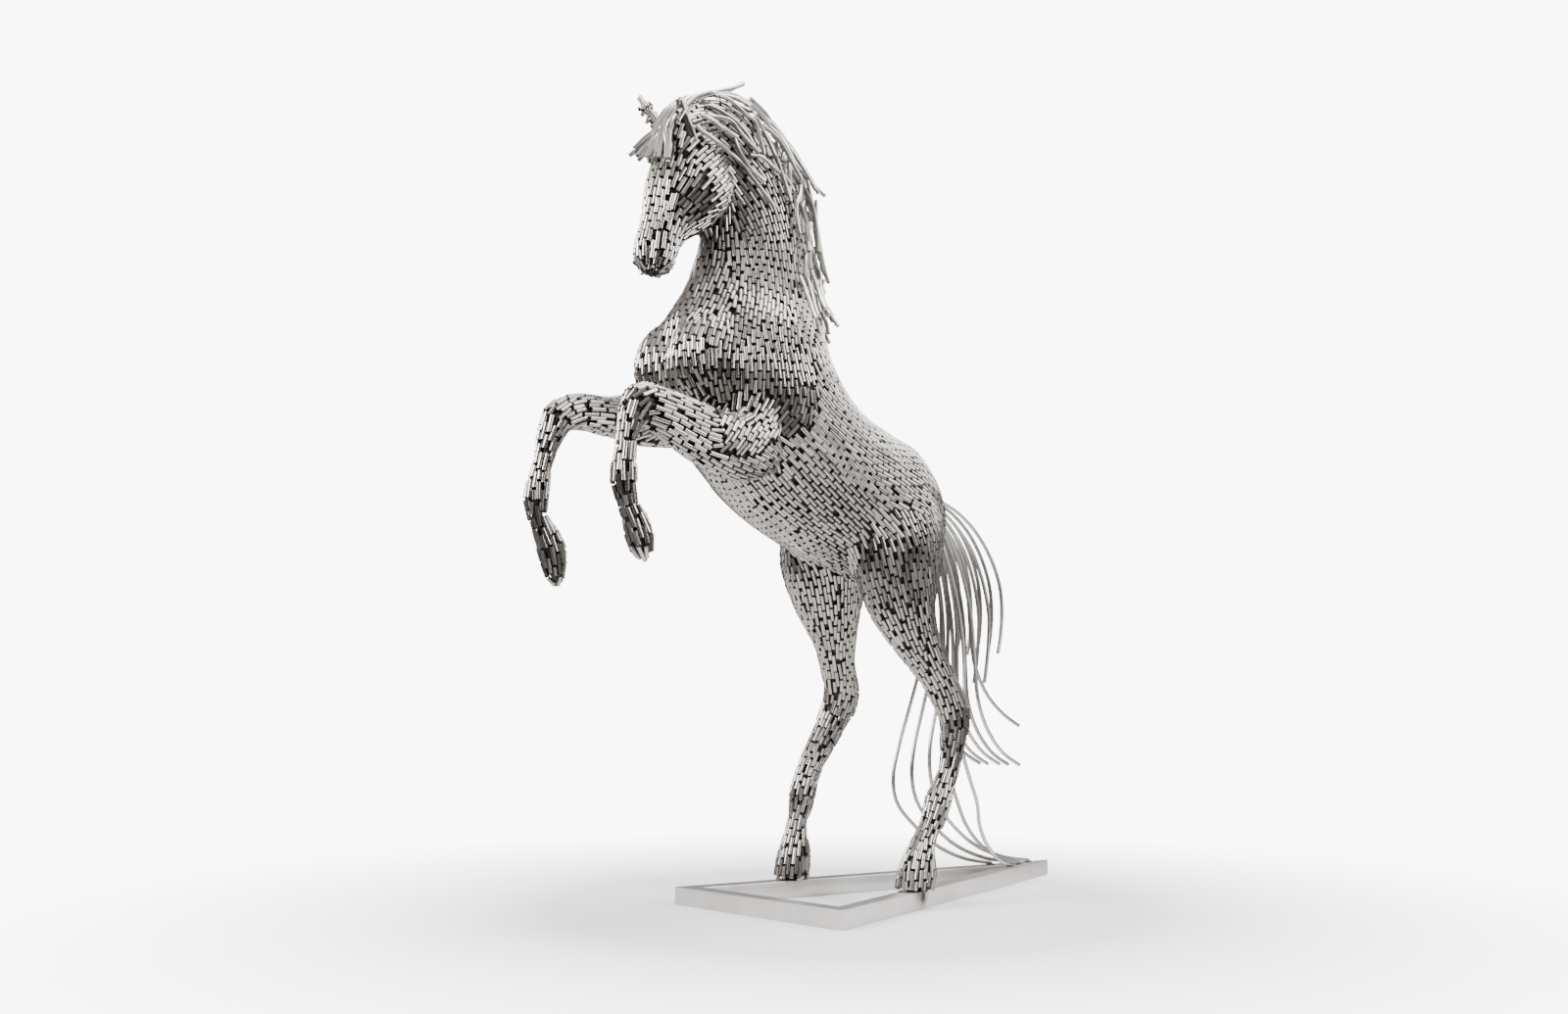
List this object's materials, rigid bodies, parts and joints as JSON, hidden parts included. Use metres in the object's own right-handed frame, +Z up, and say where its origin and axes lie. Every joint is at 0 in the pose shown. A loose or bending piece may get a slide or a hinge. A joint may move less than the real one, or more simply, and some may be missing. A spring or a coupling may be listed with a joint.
{
  "type": "rearing horse sculpture",
  "caption": "Near life-size rearing horse with a skin of short welded steel rods, bent-rod mane and tail, hind hooves on a triangular base of square tube.",
  "frame": {"origin": "on the floor under the middle of the whole work's box", "axes": "+Z up, +X the way the horse faces, +Y its left side"},
  "size_m": [2.0574, 0.6708, 2.3954],
  "materials": {
    "rod_steel": "satin stainless steel rods, ground at the ends",
    "bent_rod_steel": "smooth drawn stainless steel rod",
    "tube_steel": "brushed stainless steel square tube"
  },
  "bodies": {
    "root": {"base_front_rail": "tube_steel", "base_left_rail": "tube_steel", "base_right_rail": "tube_steel", "forelock_rod_01": "bent_rod_steel", "forelock_rod_02": "bent_rod_steel", "forelock_rod_03": "bent_rod_steel", "forelock_rod_04": "bent_rod_steel", "forelock_rod_05": "bent_rod_steel", "horse_rod_skin": "rod_steel", "mane_rod_01": "bent_rod_steel", "mane_rod_02": "bent_rod_steel", "mane_rod_03": "bent_rod_steel", "mane_rod_04": "bent_rod_steel", "mane_rod_05": "bent_rod_steel", "mane_rod_06": "bent_rod_steel", "mane_rod_07": "bent_rod_steel", "mane_rod_08": "bent_rod_steel", "mane_rod_09": "bent_rod_steel", "mane_rod_10": "bent_rod_steel", "mane_rod_11": "bent_rod_steel", "mane_rod_12": "bent_rod_steel", "mane_rod_13": "bent_rod_steel", "mane_rod_14": "bent_rod_steel", "mane_rod_15": "bent_rod_steel", "mane_rod_16": "bent_rod_steel", "mane_rod_17": "bent_rod_steel", "mane_rod_18": "bent_rod_steel", "mane_rod_19": "bent_rod_steel", "mane_rod_20": "bent_rod_steel", "mane_rod_21": "bent_rod_steel", "mane_rod_22": "bent_rod_steel", "mane_rod_23": "bent_rod_steel", "mane_rod_24": "bent_rod_steel", "tail_rod_01": "bent_rod_steel", "tail_rod_02": "bent_rod_steel", "tail_rod_03": "bent_rod_steel", "tail_rod_04": "bent_rod_steel", "tail_rod_05": "bent_rod_steel", "tail_rod_06": "bent_rod_steel", "tail_rod_07": "bent_rod_steel", "tail_rod_08": "bent_rod_steel", "tail_rod_09": "bent_rod_steel", "tail_rod_10": "bent_rod_steel", "tail_rod_11": "bent_rod_steel", "tail_rod_12": "bent_rod_steel", "tail_rod_13": "bent_rod_steel", "tail_rod_14": "bent_rod_steel", "tail_rod_15": "bent_rod_steel", "tail_rod_16": "bent_rod_steel", "tail_rod_17": "bent_rod_steel", "tail_rod_18": "bent_rod_steel", "tail_rod_19": "bent_rod_steel", "tail_rod_20": "bent_rod_steel"}
  },
  "joints": []
}
